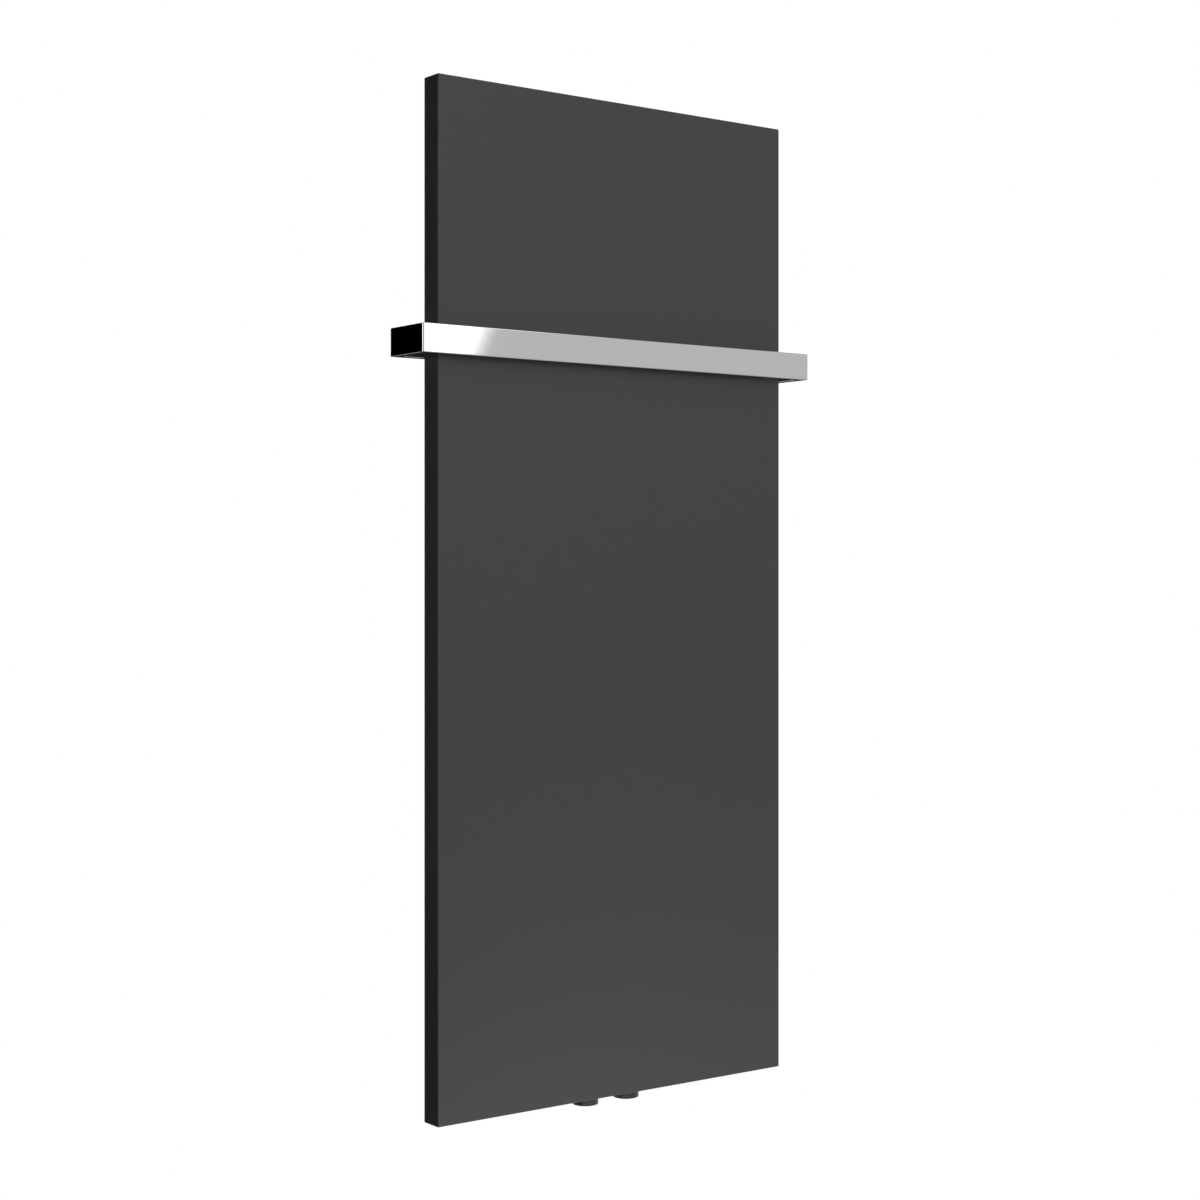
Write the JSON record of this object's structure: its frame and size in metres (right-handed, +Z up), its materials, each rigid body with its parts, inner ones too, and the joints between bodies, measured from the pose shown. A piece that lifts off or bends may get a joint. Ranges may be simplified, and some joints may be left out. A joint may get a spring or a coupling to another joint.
{
  "type": "wall radiator with towel rail",
  "caption": "Tall flat-panel hot-water bathroom radiator on wall hooks, with a rectangular towel rail wrapping round it and bottom-centre pipe sockets.",
  "frame": {"origin": "on the wall plane, at the centre of the four screw holes of the two wall brackets", "axes": "+Z up, +Y into the wall, +X to the right seen from the room; the front faces -Y"},
  "size_m": [0.472, 0.0765, 0.9885],
  "materials": {
    "anthracite_coat": "fine matt powder coat",
    "bracket_coat": "fine matt powder coat",
    "rail_chrome": "polished chrome plate",
    "zinc_steel": "bright zinc plate",
    "nickel_brass": "nickel-plated brass",
    "white_plastic": "moulded",
    "black_plastic": "moulded",
    "seal_rubber": "matt"
  },
  "bodies": {
    "wall_brackets": {"wall_bracket_left": "bracket_coat", "wall_bracket_right": "bracket_coat", "hook_liner_left": "black_plastic", "hook_liner_right": "black_plastic"},
    "radiator": {"front_cover": "anthracite_coat", "water_tube_1": "anthracite_coat", "water_tube_2": "anthracite_coat", "water_tube_3": "anthracite_coat", "water_tube_4": "anthracite_coat", "water_tube_5": "anthracite_coat", "water_tube_6": "anthracite_coat", "upper_header": "anthracite_coat", "lower_header": "anthracite_coat", "upper_header_cap_left": "anthracite_coat", "upper_header_cap_right": "anthracite_coat", "lower_header_cap_left": "anthracite_coat", "lower_header_cap_right": "anthracite_coat", "flow_baffle": "anthracite_coat", "connection_socket_left": "anthracite_coat", "connection_socket_right": "anthracite_coat", "vent_socket_left": "anthracite_coat", "vent_socket_right": "anthracite_coat", "hanging_lug_left": "anthracite_coat", "hanging_lug_right": "anthracite_coat", "spacer_bracket_left": "anthracite_coat", "spacer_bracket_right": "anthracite_coat", "rail_bracket_left": "anthracite_coat", "rail_bracket_right": "anthracite_coat", "hanging_pin_left": "zinc_steel", "hanging_pin_right": "zinc_steel", "spacer_nuts": "zinc_steel", "rail_nuts": "zinc_steel", "rail_washers": "zinc_steel", "rail_screws": "zinc_steel", "towel_rail": "rail_chrome", "bleed_valve_body": "nickel_brass", "blanking_plug": "nickel_brass", "rail_end_plug_left": "black_plastic", "rail_end_plug_right": "black_plastic", "bleed_valve_seal": "seal_rubber", "blanking_plug_seal": "seal_rubber"},
    "bleed_screw": {"bleed_screw": "nickel_brass"},
    "bleed_spout": {"bleed_spout": "white_plastic"},
    "spacer_foot_left": {"spacer_foot_left": "black_plastic", "spacer_pad_left": "seal_rubber"},
    "spacer_screw_left": {"spacer_screw_left": "zinc_steel"},
    "spacer_foot_right": {"spacer_foot_right": "black_plastic", "spacer_pad_right": "seal_rubber"},
    "spacer_screw_right": {"spacer_screw_right": "zinc_steel"}
  },
  "joints": [
    {"name": "radiator_lift", "type": "slide", "parent": "wall_brackets", "child": "radiator", "axis": [0, 0, 1], "range_m": [0, 0.012]},
    {"name": "bleed_screw_turn", "type": "hinge", "parent": "radiator", "child": "bleed_screw", "pos_m": [0.17, -0.0385, 0.1], "axis": [0, 0, 1], "range_deg": [0, 540]},
    {"name": "bleed_spout_swivel", "type": "hinge", "parent": "radiator", "child": "bleed_spout", "pos_m": [0.17, -0.0385, 0.1], "axis": [0, 0, 1], "continuous": true},
    {"name": "spacer_left_travel", "type": "slide", "parent": "radiator", "child": "spacer_foot_left", "axis": [0, 1, 0], "range_m": [-0.0025, 0.0025]},
    {"name": "spacer_left_turn", "type": "hinge", "parent": "spacer_foot_left", "child": "spacer_screw_left", "pos_m": [-0.102, -0.015, -0.735], "axis": [0, 1, 0], "range_deg": [-720, 720]},
    {"name": "spacer_right_travel", "type": "slide", "parent": "radiator", "child": "spacer_foot_right", "axis": [0, 1, 0], "range_m": [-0.0025, 0.0025]},
    {"name": "spacer_right_turn", "type": "hinge", "parent": "spacer_foot_right", "child": "spacer_screw_right", "pos_m": [0.102, -0.015, -0.735], "axis": [0, 1, 0], "range_deg": [-720, 720]}
  ],
  "couplings": [
    {"joint": "spacer_left_travel", "follows": "spacer_left_turn", "m_per_rad": 0.0001989},
    {"joint": "spacer_right_travel", "follows": "spacer_right_turn", "m_per_rad": 0.0001989}
  ]
}
